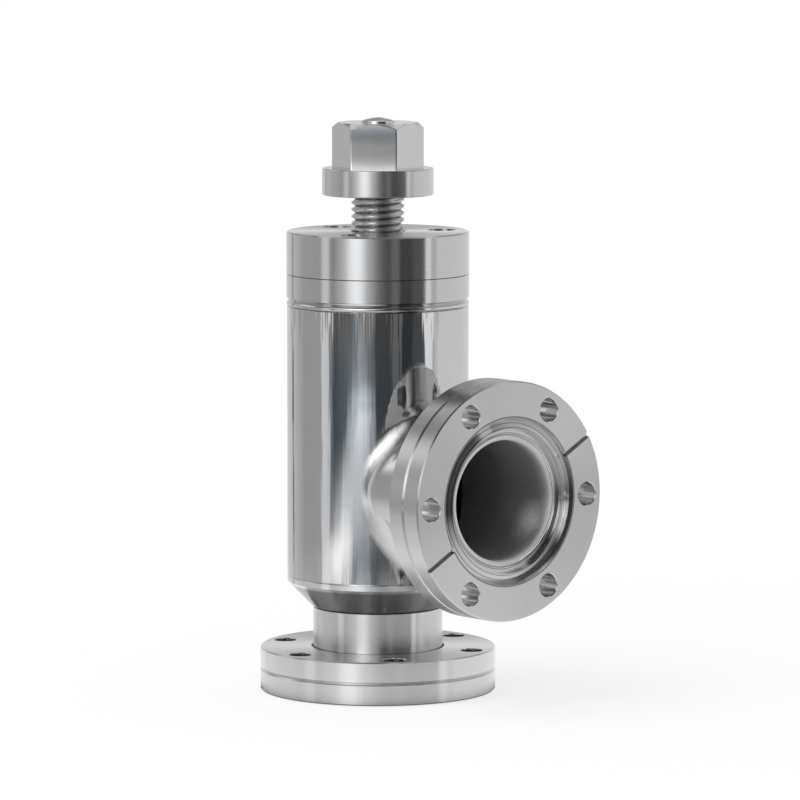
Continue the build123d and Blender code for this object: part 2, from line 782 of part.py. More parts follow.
pieces = [
    bottom_flange,
    side_flange,
    neck_tube,
    seat_reducer,
    body_shell,
    side_tube,
    bonnet_ring,
    guide_bush,
    guide_pin,
    top_cover,
    cover_screws,
    spindle_nut,
    spindle,
    drive_key,
    drive_hex,
    hex_screw,
    plunger,
    lower_race,
    upper_race,
    thrust_balls,
    ball_cage,
    bearing_cap,
    valve_plate,
    seal_pad,
    pad_retainer,
    plate_screw,
    bellows_lower_collar,
    bellows_upper_collar,
    bellows,
]
os.makedirs("parts", exist_ok=True)
for piece in pieces:
    export_step(piece.part, "parts/" + piece.part.label + ".step")
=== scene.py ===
"""Looks of the vacuum angle valve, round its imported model.

Metres, +Z up the valve's axis, +X towards the side port, origin at the bottom flange's face.
"""
from math import cos, pi, radians, sin

import bpy
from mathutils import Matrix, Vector


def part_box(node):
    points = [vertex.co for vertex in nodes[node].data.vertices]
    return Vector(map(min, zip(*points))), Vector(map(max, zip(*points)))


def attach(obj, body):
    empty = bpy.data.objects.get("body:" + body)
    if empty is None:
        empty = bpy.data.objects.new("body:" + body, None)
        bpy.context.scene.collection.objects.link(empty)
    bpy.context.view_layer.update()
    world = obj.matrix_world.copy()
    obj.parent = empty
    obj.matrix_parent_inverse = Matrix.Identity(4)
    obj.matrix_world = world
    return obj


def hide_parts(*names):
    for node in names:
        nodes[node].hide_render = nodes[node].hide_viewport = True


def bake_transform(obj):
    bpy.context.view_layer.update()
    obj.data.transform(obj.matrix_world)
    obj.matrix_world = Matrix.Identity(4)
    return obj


MM = 0.001
WHITE = (1, 1, 1, 1)

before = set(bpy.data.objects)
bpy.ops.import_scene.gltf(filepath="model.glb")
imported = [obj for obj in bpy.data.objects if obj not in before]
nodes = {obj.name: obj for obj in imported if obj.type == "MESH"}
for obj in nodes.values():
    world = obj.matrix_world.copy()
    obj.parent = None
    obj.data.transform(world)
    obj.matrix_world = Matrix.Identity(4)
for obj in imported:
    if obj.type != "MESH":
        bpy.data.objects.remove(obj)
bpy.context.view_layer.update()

# Where the photograph was taken from, and how
CAMERA_AZIMUTH = radians(50.59)
CAMERA_DISTANCE = 1.6062
CAMERA_HEIGHT = 0.2604
CAMERA_PITCH = radians(6.216)
SENSOR_WIDTH = 36
FOCAL_LENGTH = 247.2
SHIFT_X = 0.0277
SIGHT = 100  # how far the camera sees


def look_along(direction):
    """The rotation of a camera or sheet that looks along direction."""
    return Vector(direction).to_track_quat("-Z", "Y").to_euler()


def make_camera():
    camera = bpy.data.objects.new("camera", bpy.data.cameras.new("camera"))
    bpy.context.scene.collection.objects.link(camera)
    camera.location = (
        CAMERA_DISTANCE * sin(CAMERA_AZIMUTH),
        -CAMERA_DISTANCE * cos(CAMERA_AZIMUTH),
        CAMERA_HEIGHT,
    )
    level = cos(CAMERA_PITCH)
    camera.rotation_euler = look_along(
        (-sin(CAMERA_AZIMUTH) * level, cos(CAMERA_AZIMUTH) * level, -sin(CAMERA_PITCH))
    )
    camera.data.sensor_width = SENSOR_WIDTH
    camera.data.lens = FOCAL_LENGTH
    camera.data.shift_x = SHIFT_X
    camera.data.clip_end = SIGHT
    bpy.context.scene.camera = camera


class Nodes:
    """Short calls for building a node tree."""

    def __init__(self, tree):
        self.tree = tree
        tree.nodes.clear()

    def add(self, kind, inputs=None, **settings):
        node = self.tree.nodes.new(kind)
        for name, value in settings.items():
            setattr(node, name, value)
        for name, value in (inputs or {}).items():
            self.feed(node.inputs[name], value)
        return node

    def feed(self, socket, value):
        if isinstance(value, bpy.types.NodeSocket):
            self.tree.links.new(value, socket)
        else:
            socket.default_value = value

    def place(self):
        """The point itself, in its object's coordinates."""
        return self.add("ShaderNodeTexCoord").outputs["Object"]

    def parts(self, vector):
        """The X, Y and Z of a vector."""
        return self.add("ShaderNodeSeparateXYZ", {"Vector": vector}).outputs

    def math(self, operation, *values):
        node = self.add("ShaderNodeMath", operation=operation)
        for socket, value in zip(node.inputs, values):
            self.feed(socket, value)
        return node.outputs[0]

    def root_of_squares(self, first, second):
        squares = [self.math("POWER", part, 2) for part in (first, second)]
        return self.math("SQRT", self.math("ADD", *squares))

    def vector(self, operation, first, second):
        """The vector that a vector operation gives."""
        node = self.add("ShaderNodeVectorMath", {0: first, 1: second}, operation=operation)
        return node.outputs["Vector"]

    def measure(self, operation, *vectors):
        """The number that a vector operation gives."""
        node = self.add("ShaderNodeVectorMath", dict(enumerate(vectors)), operation=operation)
        return node.outputs["Value"]

    def spread(self, value, low, high, to_low, to_high):
        """value, from low to high, mapped on to_low to to_high and held at the ends."""
        limits = {"From Min": low, "From Max": high, "To Min": to_low, "To Max": to_high}
        return self.add("ShaderNodeMapRange", {"Value": value, **limits}).outputs["Result"]

    def noise(self, vector, scale, detail=2.0, roughness=0.5):
        node = self.add(
            "ShaderNodeTexNoise",
            {"Vector": vector, "Scale": scale, "Detail": detail, "Roughness": roughness},
        )
        return node.outputs["Fac"]

    def mix_colors(self, share, first, second):
        """first where share is 0 and second where it is 1."""
        colors = {"Factor": share, 6: first, 7: second}
        return self.add("ShaderNodeMix", colors, data_type="RGBA").outputs[2]

    def mix_numbers(self, share, first, second):
        """first where share is 0 and second where it is 1."""
        return self.add("ShaderNodeMix", {"Factor": share, 2: first, 3: second}).outputs[0]

    def mix_shaders(self, share, first, second):
        """first where share is 0 and second where it is 1."""
        both = {"Fac": share, 1: first.outputs[0], 2: second.outputs[0]}
        return self.add("ShaderNodeMixShader", both)

    def glow(self, level, color=WHITE):
        return self.add("ShaderNodeEmission", {"Color": color, "Strength": level})

    def finish(self, shader):
        self.add("ShaderNodeOutputMaterial", {"Surface": shader.outputs[0]})


# Studio. The front is the side that the photograph shows, and an azimuth is in degrees from it,
# counter-clockwise seen from above. A level of 1 is white.
FRONT = CAMERA_AZIMUTH - pi / 2
MATT_LEVEL = 0.75  # of the world, to matt surfaces

# The screens that stand round the valve: where each ends, and its level at either edge
SCREENS = (
    ("back wall", -138, 0.74, 0.68),
    ("gap in the wall", -135, 0.13, 0.13),
    ("left wall", -110, 0.66, 0.46),
    ("left wall, shaded", -75, 0.42, 0.43),
    ("narrow window", -64, 0.80, 0.80),
    ("curtain", -57, 0.34, 0.10),
    ("left flag", -26, 0.10, 0.24),
    ("grey card", -14, 0.44, 0.34),
    ("fold of the front flag", -3, 0.24, 0.10),
    ("front flag", 17, 0.08, 0.07),
    ("slit", 27, 0.16, 0.16),
    ("black flag", 44, 0.04, 0.05),
    ("front flag, right", 62, 0.09, 0.09),
    ("bright strip", 71, 1.00, 0.95),
    ("gap beside the strip", 80, 0.52, 0.66),
    ("right wall", 180, 0.78, 0.76),
)
SCREEN_DISTANCE = 2.0
SCREEN_FOOT = -0.9
SCREEN_TOP = 2.4
SCREEN_STEPS = 90
EDGE_WIDTH = 0.6  # degrees over which one screen's edge passes into the next
SKY_TINT = (0.72, 0.87, 1.0, 1)  # of the front screens, in a low band
TINT_BAND = (-0.28, -0.24, -0.115, -0.075)  # the heights at which it starts, is full, and ends
TINT_SIDES = (0.15, 0.2)  # the shares of a turn from the front between which it ends sideways
TOP_FADE = (0.35, 1.1)  # the heights between which the screens darken to their top
TOP_SHARE = 0.5  # of a screen's level, at its top
CEILING_BACK = 0.8
CEILING_FRONT = 0.12
CEILING_REACH = 0.5  # how far behind the valve the ceiling has its back level


def new_object(name, verts, faces, material):
    mesh = bpy.data.meshes.new(name)
    mesh.from_pydata(verts, [], faces)
    mesh.materials.append(material)
    thing = bpy.data.objects.new(name, mesh)
    bpy.context.scene.collection.objects.link(thing)
    return thing


def ring(radius, height=0.0, steps=96):
    """Points evenly round the valve's axis."""
    turns = [2 * pi * step / steps for step in range(steps)]
    return [(radius * cos(turn), radius * sin(turn), height) for turn in turns]


def away(azimuth, elevation):
    """The direction from the valve, azimuth degrees from the front."""
    turn = FRONT + radians(azimuth)
    rise = radians(elevation)
    return Vector((cos(turn) * cos(rise), sin(turn) * cos(rise), sin(rise)))


def new_material(name):
    """A material with its nodes."""
    material = bpy.data.materials.new(name)
    material.use_nodes = True
    return material, Nodes(material.node_tree)


def glowing(name):
    """A material with its nodes, for a surface that shines by itself."""
    material, n = new_material(name)
    material.cycles.emission_sampling = "NONE"
    return material, n


def stage_sheet(name, verts, faces, material):
    """A sheet of the studio, which only the valve's metal shows."""
    sheet = new_object(name, verts, faces, material)
    sheet.visible_camera = False
    sheet.visible_diffuse = False
    sheet.visible_shadow = False
    return sheet


def flat_sheet(name, points, material):
    """A flat sheet of the studio, from the points round its edge."""
    return stage_sheet(name, points, [tuple(range(len(points)))], material)


def make_room():
    """White all round, to the camera and to metal, and a plain level for matt surfaces."""
    world = bpy.data.worlds.new("studio")
    bpy.context.scene.world = world
    world.use_nodes = True
    n = Nodes(world.node_tree)
    rays = n.add("ShaderNodeLightPath").outputs
    direct = n.math("MAXIMUM", rays["Is Camera Ray"], rays["Is Glossy Ray"])
    shown = n.math("MAXIMUM", direct, rays["Is Transmission Ray"])
    white = n.add("ShaderNodeBackground", {"Color": WHITE, "Strength": 1.0})
    matt = n.add("ShaderNodeBackground", {"Color": WHITE, "Strength": MATT_LEVEL})
    both = n.mix_shaders(shown, matt, white)
    n.add("ShaderNodeOutputWorld", {"Surface": both.outputs[0]})


def bearing(n, place):
    """The azimuth of a point round the valve's axis, as a share of a turn from the back."""
    parts = n.parts(place)
    angle = n.math("ARCTAN2", parts["Y"], parts["X"])
    from_front = n.math("DIVIDE", n.math("SUBTRACT", angle, FRONT), 2 * pi)
    # Half a turn more counts from the back, and a whole one more keeps the sum above 0
    return n.math("FRACT", n.math("ADD", from_front, 1.5))


def screen_levels(n, place):
    """The level of the screens at a point's azimuth."""
    ramp = n.add("ShaderNodeValToRGB", {"Fac": bearing(n, place)})
    stops = ramp.color_ramp.elements
    while len(stops) < 2 * len(SCREENS):
        stops.new(0.5)
    edge = -180
    for screen, (_, end, first, last) in enumerate(SCREENS):
        for stop, degrees, level in (
            (stops[2 * screen], edge + EDGE_WIDTH / 2, first),
            (stops[2 * screen + 1], end - EDGE_WIDTH / 2, last),
        ):
            stop.position = (degrees + 180) / 360
            stop.color = (level, level, level, 1)
        edge = end
    return ramp.outputs["Color"]


def make_screens():
    """A drum of light and dark screens round the valve."""
    foot = ring(SCREEN_DISTANCE, SCREEN_FOOT, SCREEN_STEPS)
    top = ring(SCREEN_DISTANCE, SCREEN_TOP, SCREEN_STEPS)
    faces = []
    for step in range(SCREEN_STEPS):
        after = (step + 1) % SCREEN_STEPS
        faces.append((step, after, SCREEN_STEPS + after, SCREEN_STEPS + step))
    material, n = glowing("screens")
    place = n.place()
    height = n.parts(place)["Z"]
    fade = n.spread(height, *TOP_FADE, 1.0, TOP_SHARE)
    level = n.math("MULTIPLY", screen_levels(n, place), fade)
    start, full, fading, end = TINT_BAND
    rising = n.spread(height, start, full, 0.0, 1.0)
    band = n.math("MULTIPLY", rising, n.spread(height, fading, end, 1.0, 0.0))
    from_front = n.math("ABSOLUTE", n.math("SUBTRACT", bearing(n, place), 0.5))
    blue = n.math("MULTIPLY", band, n.spread(from_front, *TINT_SIDES, 1.0, 0.0))
    n.finish(n.glow(level, n.mix_colors(blue, WHITE, SKY_TINT)))
    stage_sheet("screens", foot + top, faces, material)


def make_ceiling():
    """A lid on the drum, darker towards the front."""
    material, n = glowing("half_dark_ceiling")
    towards = n.measure("DOT_PRODUCT", n.place(), away(0, 0))
    n.finish(n.glow(n.spread(towards, -CEILING_REACH, 0.0, CEILING_BACK, CEILING_FRONT)))
    flat_sheet("ceiling", ring(SCREEN_DISTANCE, SCREEN_TOP, SCREEN_STEPS), material)


SIDE_SOFTNESS = 1.7  # the higher, the softer a patch's long edges
END_SOFTNESS = 1.5  # and its ends


def soft_patch(name, middle, facing, width, height, level, color, end_fade):
    """A bright sheet with soft edges that faces the valve."""
    material, n = glowing(name)
    parts = n.parts(n.place())
    across = n.math("POWER", n.math("DIVIDE", parts["X"], width / 2), 2)
    along = n.math("ABSOLUTE", n.math("DIVIDE", parts["Y"], height / 2))
    middle_share = n.math("POWER", n.spread(across, 0.0, 1.0, 1.0, 0.0), SIDE_SOFTNESS)
    end_share = n.math("POWER", n.spread(along, end_fade, 1.0, 1.0, 0.0), END_SOFTNESS)
    share = n.math("MULTIPLY", middle_share, end_share)
    n.finish(n.mix_shaders(share, n.add("ShaderNodeBsdfTransparent"), n.glow(level, color)))
    corners = [(-1, -1), (1, -1), (1, 1), (-1, 1)]
    sheet = flat_sheet(name, [(x * width / 2, y * height / 2, 0) for x, y in corners], material)
    sheet.location = middle
    sheet.rotation_euler = look_along(facing)
    return sheet


LIT_POINT = Vector((0, 0, 0.08))  # which the windows and the lamp face
# Soft windows: azimuth, rise, width, height, level, and how far from the middle their ends fade
WINDOWS = (
    ("broad_window", -29, 22, 3.0, 1.7, 1.5, 0.3),
    ("inner_window", -28, 15, 0.95, 1.2, 2.6, 0.6),
    ("side_window", -112, 28, 1.5, 0.9, 1.25, 0.3),
)
WINDOW_DISTANCE = 1.7
# Light on the table: azimuth, distance from the valve's axis, width, length, level and tint
POOLS = (
    ("blue_pool", -22, 0.68, 0.50, 0.56, 1.1, (0.88, 0.94, 1.0, 1)),
    ("near_pool", -42, 0.38, 0.25, 0.50, 1.35, WHITE),
)
POOL_HEADING = -10  # the azimuth that they run towards
POOL_END_FADE = 0.4
POOL_RISE = 0.5 * MM
# The lamp that lights the floor
LAMP_AZIMUTH = -60
LAMP_RISE = 58
LAMP_DISTANCE = 1.6
LAMP_SIZE = 1.2
LAMP_WATTS = 12


def make_windows():
    """The soft windows that draw the bright streaks, and the pools of light on the table."""
    for name, azimuth, rise, width, height, level, end_fade in WINDOWS:
        window = away(azimuth, rise)
        middle = LIT_POINT + WINDOW_DISTANCE * window
        soft_patch(name, middle, -window, width, height, level, WHITE, end_fade)
    for name, azimuth, distance, width, length, level, tint in POOLS:
        middle = distance * away(azimuth, 0) + Vector((0, 0, POOL_RISE))
        pool = soft_patch(name, middle, (0, 0, -1), width, length, level, tint, POOL_END_FADE)
        pool.rotation_euler.z += FRONT + radians(POOL_HEADING) + pi / 2


def make_lamp():
    lamp = bpy.data.lights.new("floor_softbox", "AREA")
    lamp.shape = "DISK"
    lamp.size = LAMP_SIZE
    lamp.energy = LAMP_WATTS
    box = bpy.data.objects.new("floor_softbox", lamp)
    bpy.context.scene.collection.objects.link(box)
    above = away(LAMP_AZIMUTH, LAMP_RISE)
    box.location = LIT_POINT + LAMP_DISTANCE * above
    box.rotation_euler = look_along(-above)
    box.visible_camera = False
    box.visible_glossy = False


FLOOR_RADIUS = 30
FLOOR_DROP = 0.2 * MM
FLOOR_COLOR = (0.93, 0.93, 0.93, 1)
# From and to which distance the floor turns white, and the shares of white there
FLOOR_WHITE = (0.08, 0.32, 0.72, 1.0)
TABLE_RADIUS = 0.45
TABLE_DROP = 0.4 * MM
# From and to which distance the table fades, and its shares there
TABLE_FADE = (0.07, 0.40, 1.0, 0.0)
# The shade at the valve's foot: from and to which distance it fades, and the levels there
TABLE_SHADE = (0.034, 0.046, 0.12, 0.95)
BELOW_LEVEL = 0.2


def make_floor():
    """A plain pale floor that keeps the valve's soft shadow and is white further out."""
    material, n = new_material("pale_floor")
    is_camera = n.add("ShaderNodeLightPath").outputs["Is Camera Ray"]
    paint = n.add("ShaderNodeBsdfDiffuse", {"Color": FLOOR_COLOR})
    white = n.spread(n.measure("LENGTH", n.place()), *FLOOR_WHITE)
    n.finish(n.mix_shaders(n.math("MULTIPLY", is_camera, white), paint, n.glow(1.0)))
    rim = ring(FLOOR_RADIUS)
    floor = new_object("floor", rim, [tuple(range(len(rim)))], material)
    floor.location.z = -FLOOR_DROP
    floor.visible_glossy = False


def make_table():
    """The pale table round the valve, which only its metal shows and which fades outwards."""
    material, n = glowing("pale_table")
    out = n.measure("LENGTH", n.place())
    share = n.math("POWER", n.spread(out, *TABLE_FADE), 2)
    pale = n.glow(n.spread(out, *TABLE_SHADE))
    n.finish(n.mix_shaders(share, n.add("ShaderNodeBsdfTransparent"), pale))
    table = flat_sheet("table", ring(TABLE_RADIUS), material)
    table.location.z = -TABLE_DROP

    material, n = glowing("dark_below")
    n.finish(n.glow(BELOW_LEVEL))
    below = flat_sheet("below", ring(SCREEN_DISTANCE), material)
    below.location.z = SCREEN_FOOT


# Places on the valve
INTO_WALL = 0.9 * MM  # from a tube's outside to the middle of its wall, or near it
TUBE_LOW, TUBE_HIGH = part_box("side_tube")
PORT_MOUTH = TUBE_HIGH.x
PORT_WALL_R = (TUBE_HIGH.y - TUBE_LOW.y) / 2 - INTO_WALL
PORT_CENTRE = (0.0, 0.0, (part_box("side_flange")[0].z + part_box("side_flange")[1].z) / 2)
BODY_WALL_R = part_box("body_shell")[1].y - INTO_WALL
BODY_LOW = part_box("body_shell")[0].z
BODY_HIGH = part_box("body_shell")[1].z
COVER_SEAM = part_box("top_cover")[1].z - 12.5 * MM
BEAD_SEAM = BODY_HIGH + 0.12 * MM
BEAD_TOP = BODY_HIGH + 2.6 * MM
RECESS_R = 24.2 * MM
BOLTS = 6
BOLT_CIRCLE_R = 29.35 * MM
BOLT_HOLE_R = 3.45 * MM
EDGE_BLEND = 0.2 * MM  # over which one surface passes into the next

# Where the branch is drawn out of the body its polish is duller, most so up to the first
# distance from the port's axis and not at all from the second
SADDLE_NEAR = 20 * MM
SADDLE_FAR = 29 * MM
SADDLE_ROUGHNESS = 0.2
RECESS_ROUGHNESS = 0.12  # and that of the bolt holes
BEAD_ROUGHNESS = 0.1
# The body's wall is wavy beside the welds at its ends, and less so between them
LOW_WELD_HEAT = 9 * MM
HIGH_WELD_HEAT = 14.4 * MM
HIGH_WAVES = 2.0
CALM_WAVES = 0.45

# The inside of the tubes: dull, with painted shade deep in them and painted light at the port's
# mouth
BORE_SHADE_COLOR = (0.30, 0.30, 0.305, 1)
BORE_ROUGHNESS = 0.33
BORE_METALLIC = 0.45
MOUTH_LIGHT_COLOR = (0.80, 0.80, 0.80, 1)
MOUTH_ROUGHNESS = 0.6
MOUTH_DEPTH = 6 * MM
# A painted highlight on the port's inner wall, in grains: its middle, how far it reaches, and its
# grain
SPOT_MIDDLE = (50.5 * MM, 15.5 * MM, PORT_CENTRE[2] - 8.5 * MM)
SPOT_REACH = 8.5 * MM
SPOT_SOFTNESS = 1.5
SPOT_GRAIN = 2600
GRAIN_CONTRAST = (0.35, 0.6, 0.6, 1.7)  # from and to which noise, and the shares there


def radius_from(n, place, axis):
    """How far a point is from an axis, and how far along it."""
    parts = n.parts(place)
    along = parts["XYZ".index(axis)]
    return n.root_of_squares(*[part for part in parts if part != along]), along


def from_port(n, place):
    """How far a point is from the side port's axis, and how far along it."""
    return radius_from(n, n.vector("SUBTRACT", place, PORT_CENTRE), "X")


def within(n, distance, reach):
    """1 up to reach, and 0 beyond it."""
    return n.spread(distance, reach, reach + EDGE_BLEND, 1.0, 0.0)


def painted_highlight_spot(n, place):
    """Up to 1 on a painted highlight on the port's inner wall, in grains."""
    off = n.measure("DISTANCE", place, SPOT_MIDDLE)
    near = n.math("POWER", n.spread(off, 0.0, SPOT_REACH, 1.0, 0.0), SPOT_SOFTNESS)
    grain = n.spread(n.noise(place, SPOT_GRAIN), *GRAIN_CONTRAST)
    return n.math("MINIMUM", n.math("MULTIPLY", near, grain), 1.0)


def inside_port(n, place):
    """1 on the inside of the side port, 0 on its outside and on the far side of the body."""
    radius, along = from_port(n, place)
    return n.math("MULTIPLY", within(n, radius, PORT_WALL_R), n.math("GREATER_THAN", along, 0.0))


def inside_body(n, place):
    """1 on the inside of the body tube and of its branch."""
    radius, _ = radius_from(n, place, "Z")
    return n.math("MAXIMUM", within(n, radius, BODY_WALL_R), inside_port(n, place))


def near_branch(n, place):
    """1 on the branch, 0 on the body well away from it and on its far side."""
    radius, along = from_port(n, place)
    near = n.spread(radius, SADDLE_NEAR, SADDLE_FAR, 1.0, 0.0)
    return n.math("MULTIPLY", near, n.math("GREATER_THAN", along, 0.0))


def in_bolt_holes(n, first, second, first_angle):
    """1 on the walls of the bolt holes, from a point's two distances from the flange's axis."""
    turn = n.math("SUBTRACT", n.math("ARCTAN2", second, first), first_angle)
    off = n.math("WRAP", turn, pi / BOLTS, -pi / BOLTS)
    radius = n.root_of_squares(first, second)
    out = n.math("SUBTRACT", n.math("MULTIPLY", radius, n.math("COSINE", off)), BOLT_CIRCLE_R)
    across = n.math("MULTIPLY", radius, n.math("SINE", off))
    return within(n, n.root_of_squares(out, across), BOLT_HOLE_R)


def cut_finer_side(n, place):
    """1 in the side flange's gasket recess and bolt holes, 0 on its face and rim."""
    radius, _ = from_port(n, place)
    parts = n.parts(n.vector("SUBTRACT", place, PORT_CENTRE))
    holes = in_bolt_holes(n, parts["Y"], parts["Z"], 0.0)
    return n.math("MAXIMUM", within(n, radius, RECESS_R), holes)


def cut_finer_foot(n, place):
    """1 in the bottom flange's bolt holes."""
    parts = n.parts(place)
    return in_bolt_holes(n, parts["X"], parts["Y"], pi / BOLTS)


def on_bead(n, place):
    """1 on the bonnet ring's bead and notch, 0 above them and on the neck."""
    height = n.parts(place)["Z"]
    above_body = n.math("GREATER_THAN", height, BODY_LOW)
    return n.math("MULTIPLY", within(n, height, BEAD_TOP), above_body)


def beside_welds(n, place):
    """How wavy the body's wall is at a height: far more by its ends than between."""
    height = n.parts(place)["Z"]
    low = n.math("POWER", n.spread(height, BODY_LOW, BODY_LOW + LOW_WELD_HEAT, 1.0, 0.0), 2)
    high = n.math("POWER", n.spread(height, BODY_HIGH - HIGH_WELD_HEAT, BODY_HIGH, 0.0, 1.0), 2)
    ends = n.math("ADD", low, n.math("MULTIPLY", high, HIGH_WAVES))
    return n.math("ADD", ends, CALM_WAVES)


# Metals. The scales are those of noises, the larger the finer.
SMEAR_SCALE = 45
STAIN_SCALE = 160
RING_SCALE = 2600
WAVE_SCALE = 190
WAVE_SQUEEZE = (1, 1, 0.06)  # long along Z
NOISE_RANGE = (0.35, 0.65)  # which a noise seldom leaves
TONE_CHANGE = 0.015  # the share by which a metal's colour goes up and down
WEAR_CHANGE = 0.04  # and its roughness
# The thin lines of painted shade in joints and in fine grooves
LINE_WIDTH = 0.14 * MM
SHADE_LINE_COLOR = (0.22, 0.22, 0.22, 1)
# Painted shade in the thread's roots
ROOT_SHADE_COLOR = (0.20, 0.198, 0.195, 1)
ROOT_SHADE_ENDS = (6.7 * MM, 7.1 * MM)  # the radii between which the painted shade in the spindle's thread roots ends


def long_waves(n, place, height):
    """The relief of the body's long shallow waves."""
    squeezed = n.vector("MULTIPLY", place, WAVE_SQUEEZE)
    waves = n.noise(squeezed, WAVE_SCALE, detail=3, roughness=0.55)
    swing = n.math("SUBTRACT", waves, 0.5)
    return n.math("MULTIPLY", swing, n.math("MULTIPLY", beside_welds(n, place), height))


def painted_shade_line(n, paint, measure, at):
    """The paint with a thin line of painted shade on it, where a measure has one value."""
    off = n.math("ABSOLUTE", n.math("SUBTRACT", measure, at))
    line = n.spread(off, 0.5 * LINE_WIDTH, LINE_WIDTH, 1.0, 0.0)
    return n.mix_colors(line, paint, SHADE_LINE_COLOR)


def bore_wall(n, place):
    """The colour and the roughness of a tube's inner wall: painted shade, with painted light at the
    port's mouth and on a spot.
    """
    out = n.parts(place)["X"]
    mouth = n.math("POWER", n.spread(out, PORT_MOUTH - MOUTH_DEPTH, PORT_MOUTH, 0.0, 1.0), 2)
    # Painted light at the port's mouth and on the spot, over the painted shade further in
    bright = n.math("MAXIMUM", mouth, painted_highlight_spot(n, place))
    color = n.mix_colors(bright, BORE_SHADE_COLOR, MOUTH_LIGHT_COLOR)
    return color, n.spread(bright, 0.0, 1.0, BORE_ROUGHNESS, MOUTH_ROUGHNESS)


def metal(
    name,
    color,
    roughness,
    axis=None,
    centre=(0, 0, 0),
    anisotropic=1.0,
    drawn=0.25,
    ring_depth=0.0,
    ripple=0.0,
    mottle=0.0,
    bore=None,
    zone=None,
    seams=(),
    grooves=(),
    roots=None,
    shaded=None,
):
    """A metal. With an axis it is turned round it: fine rings, and a shine drawn across them.

    drawn is the turn of that shine, a quarter to draw it along the axis and 0 round it. ripple is
    the height of long shallow waves along Z, and mottle that of fine dents. bore says where the
    metal is the dull inside of a tube, with painted shade deep in it and painted light at the
    port's mouth, and zone where it has another roughness, and which. seams are the heights of thin
    lines of painted shade in joints, and grooves the radii of thin rings of painted shade for fine
    grooves. roots are the radii between which the painted shade in a thread's roots ends. shaded
    is the colour of the painted shade at the piece's foot, and the heights between which it ends.
    """
    material, n = new_material(name)
    place = n.place()
    shader = n.add("ShaderNodeBsdfPrincipled", {"Metallic": 1.0})
    moved = n.vector("SUBTRACT", place, centre)
    smears = n.noise(moved, SMEAR_SCALE, detail=3)
    stains = n.noise(moved, STAIN_SCALE, detail=4, roughness=0.65)
    marks = stains
    if axis:
        radius, along = radius_from(n, moved, axis)
        rings = n.add("ShaderNodeCombineXYZ", {"X": radius, "Y": along}).outputs[0]
        marks = n.noise(rings, RING_SCALE, roughness=0.6)
        tangent = n.add("ShaderNodeTangent", direction_type="RADIAL", axis=axis).outputs[0]
        n.feed(shader.inputs["Tangent"], tangent)
        shader.inputs["Anisotropic"].default_value = anisotropic
        shader.inputs["Anisotropic Rotation"].default_value = drawn

    dents = n.math("MULTIPLY", smears, mottle)
    relief = n.math("ADD", n.math("MULTIPLY", marks, ring_depth), dents)
    if ripple:
        relief = n.math("ADD", relief, long_waves(n, place, ripple))
    bump = n.add("ShaderNodeBump", {"Height": relief, "Distance": 1.0, "Strength": 1.0})
    n.feed(shader.inputs["Normal"], bump.outputs[0])

    dark = tuple((1 - TONE_CHANGE) * part for part in color) + (1,)
    light = tuple(min(1.0, (1 + TONE_CHANGE) * part) for part in color) + (1,)
    paint = n.mix_colors(n.spread(marks, *NOISE_RANGE, 0.0, 1.0), dark, light)
    worn = n.math("ADD", n.math("MULTIPLY", smears, 0.5), n.math("MULTIPLY", stains, 0.5))
    sharp, dull = (1 - WEAR_CHANGE) * roughness, (1 + WEAR_CHANGE) * roughness
    rough = n.spread(worn, *NOISE_RANGE, sharp, dull)
    if zone:
        where, other = zone
        rough = n.mix_numbers(where(n, place), rough, other)
    if roots:
        # Painted shade in a thread's roots
        paint = n.mix_colors(n.spread(radius, *roots, 1.0, 0.0), paint, ROOT_SHADE_COLOR)
    # Painted shade at the piece's foot
    if shaded:
        foot_color, low, high = shaded
        foot = n.spread(n.parts(place)["Z"], low, high, 1.0, 0.0)
        paint = n.mix_colors(foot, paint, foot_color)
    # Thin lines of painted shade in joints and grooves
    for seam in seams:
        paint = painted_shade_line(n, paint, n.parts(place)["Z"], seam)
    for groove in grooves:
        paint = painted_shade_line(n, paint, radius, groove)
    # The inside of a tube: painted shade, with painted light at the port's mouth and on a spot
    if bore:
        inside = bore(n, place)
        wall_color, wall_rough = bore_wall(n, place)
        paint = n.mix_colors(inside, paint, wall_color)
        rough = n.mix_numbers(inside, rough, wall_rough)
        n.feed(shader.inputs["Metallic"], n.spread(inside, 0.0, 1.0, 1.0, BORE_METALLIC))
    n.feed(shader.inputs["Base Color"], paint)
    n.feed(shader.inputs["Roughness"], rough)
    n.finish(shader)
    return material


STEEL = (0.66, 0.66, 0.665)
# Painted light: the steel painted lighter, for the bottom flange and the stop collar
PALE_STEEL = (0.72, 0.72, 0.725)
FINE_CUT = 0.0001 * MM  # the depth of the rings that a lathe leaves
COARSE_CUT = 0.001 * MM
FINE_DENTS = 0.02 * MM
BODY_DENTS = 0.04 * MM
BODY_WAVES = 0.3 * MM
# Painted shade: the cone is painted dark up to a painted highlight on the edge below the weld
CONE_SHADE = ((0.38, 0.38, 0.385, 1), BODY_LOW - 2.9 * MM, BODY_LOW - 2.2 * MM)
# Thin rings of painted shade, for fine grooves on the knife edge's slopes and round the edge of its
# recess. The flange's back shows them too.
KNIFE_RINGS = (19.6 * MM, 21.3 * MM, 22.6 * MM, RECESS_R + 0.1 * MM, RECESS_R + 0.3 * MM)

